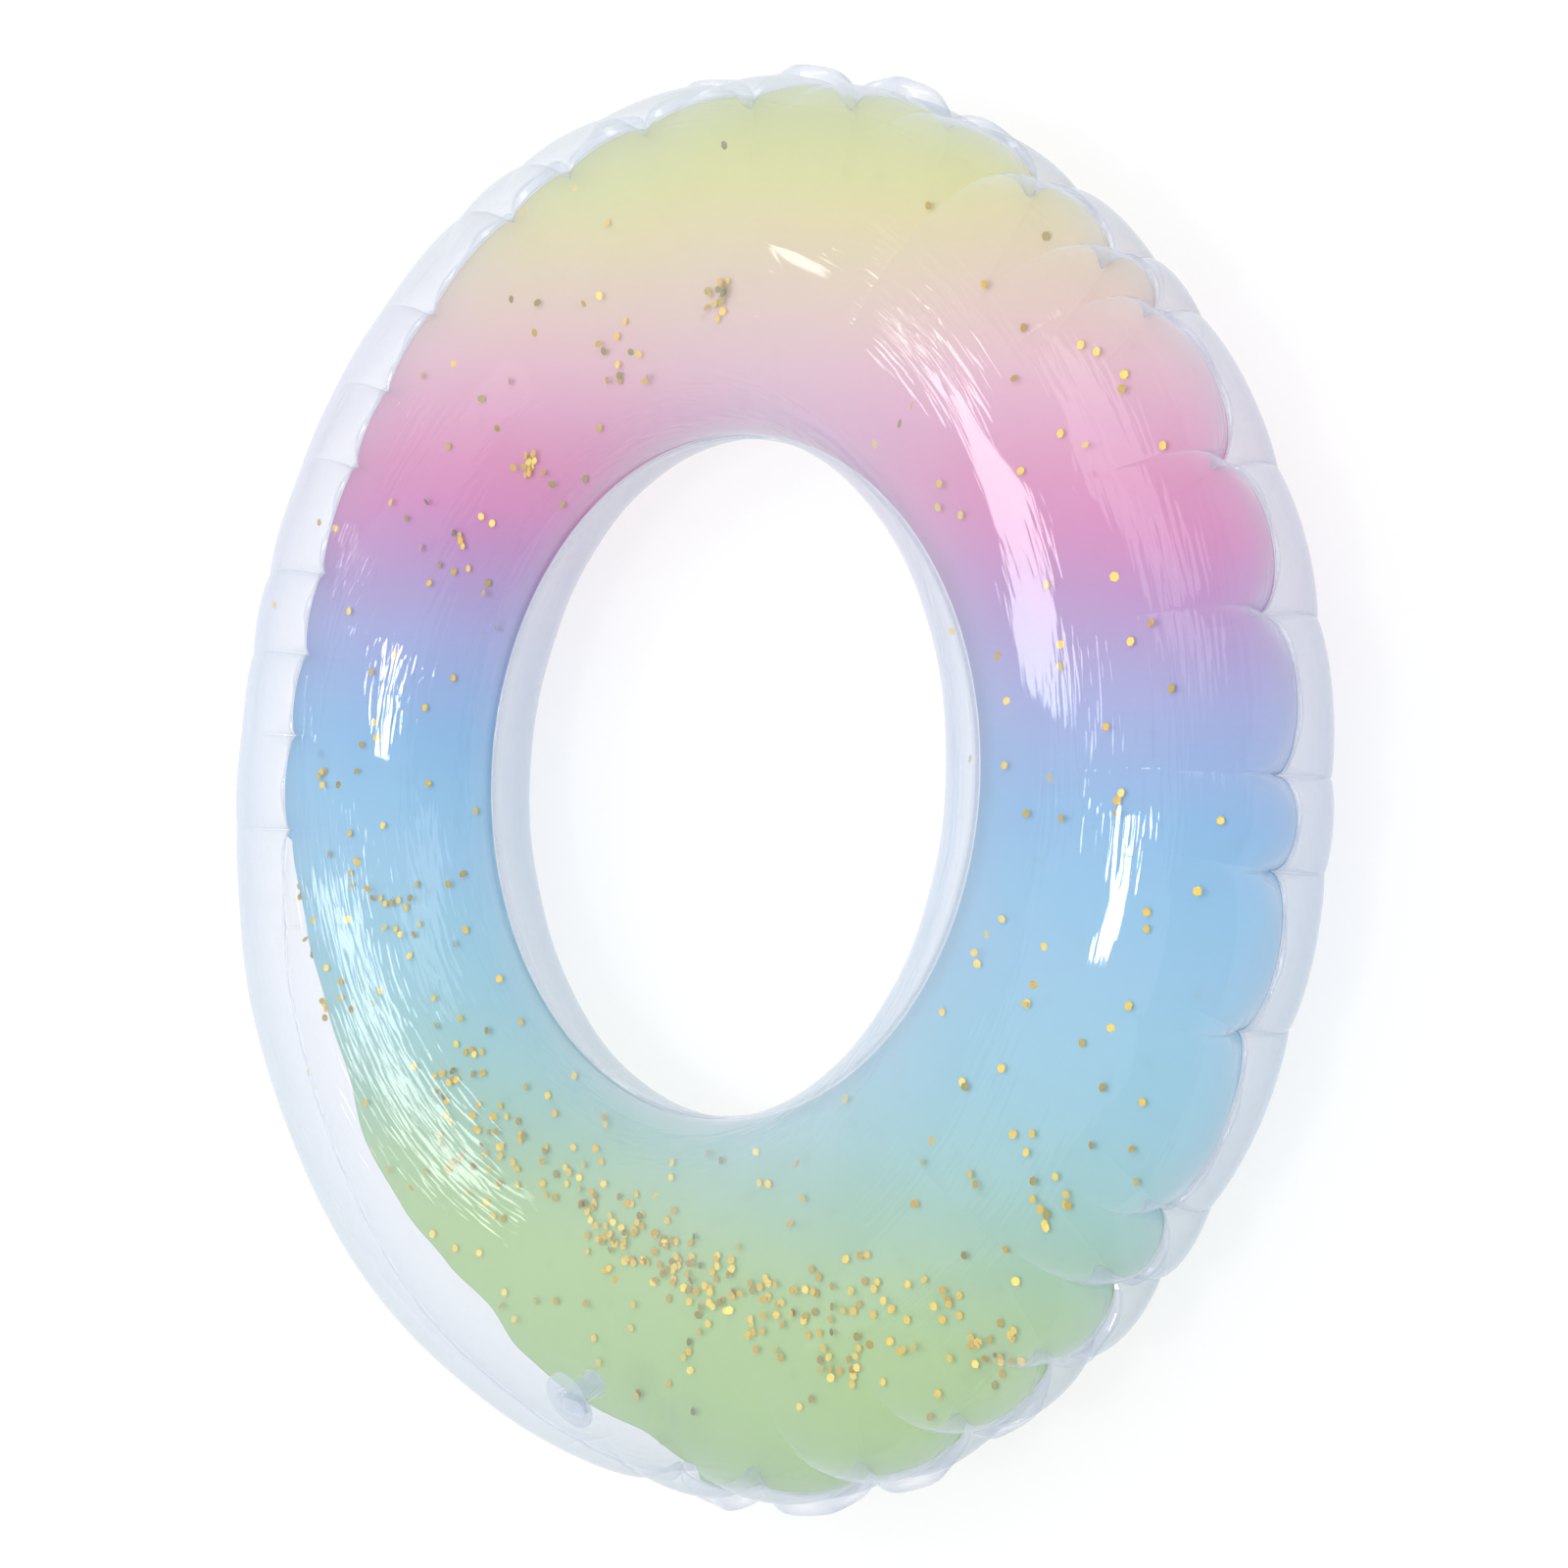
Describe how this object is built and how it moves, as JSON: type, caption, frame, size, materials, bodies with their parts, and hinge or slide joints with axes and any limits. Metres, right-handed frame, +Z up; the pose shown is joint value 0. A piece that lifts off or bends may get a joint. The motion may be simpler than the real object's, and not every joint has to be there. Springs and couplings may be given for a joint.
{
  "type": "inflatable pool float",
  "caption": "Round inflatable swim ring of clear vinyl with a pastel printed sheet and loose gold flakes inside, lying flat, with a push-in valve, plug and check flap.",
  "frame": {"origin": "centre of the ring on the surface it lies on", "axes": "+Z up along the ring's axis, front film with the valve on top; +Y across the ring towards the yellow-green edge of the print, opposite the valve"},
  "size_m": [0.7, 0.7, 0.1357],
  "materials": {
    "clear_film": "clear glossy soft vinyl film",
    "printed_film": "translucent pastel print on soft vinyl film",
    "gold_foil": "gold metallised polyester foil",
    "valve_vinyl": "clear moulded soft vinyl"
  },
  "bodies": {
    "ring": {"front_film": "clear_film", "back_film": "clear_film", "colour_sheet": "printed_film", "front_flakes": "gold_foil", "back_flakes": "gold_foil", "valve_flange": "valve_vinyl"},
    "valve_stem": {"valve_stem": "valve_vinyl", "plug_strap": "valve_vinyl"},
    "check_flap": {"check_flap": "valve_vinyl"},
    "valve_plug": {"valve_plug": "valve_vinyl"}
  },
  "joints": [
    {"name": "stem_push", "type": "slide", "parent": "ring", "child": "valve_stem", "axis": [-0.0452, -0.4305, 0.9015], "range_m": [0, 0.015]},
    {"name": "plug_pull", "type": "slide", "parent": "valve_stem", "child": "valve_plug", "axis": [-0.0452, -0.4305, 0.9015], "range_m": [0, 0.012], "deforming": ["plug_strap"]},
    {"name": "flap_hinge", "type": "hinge", "parent": "valve_stem", "child": "check_flap", "pos_m": [-0.02545, -0.29568, 0.10942], "axis": [-0.0942, -0.8965, -0.4328], "range_deg": [0, 60], "stiffness_Nm_per_rad": 0.0005}
  ]
}
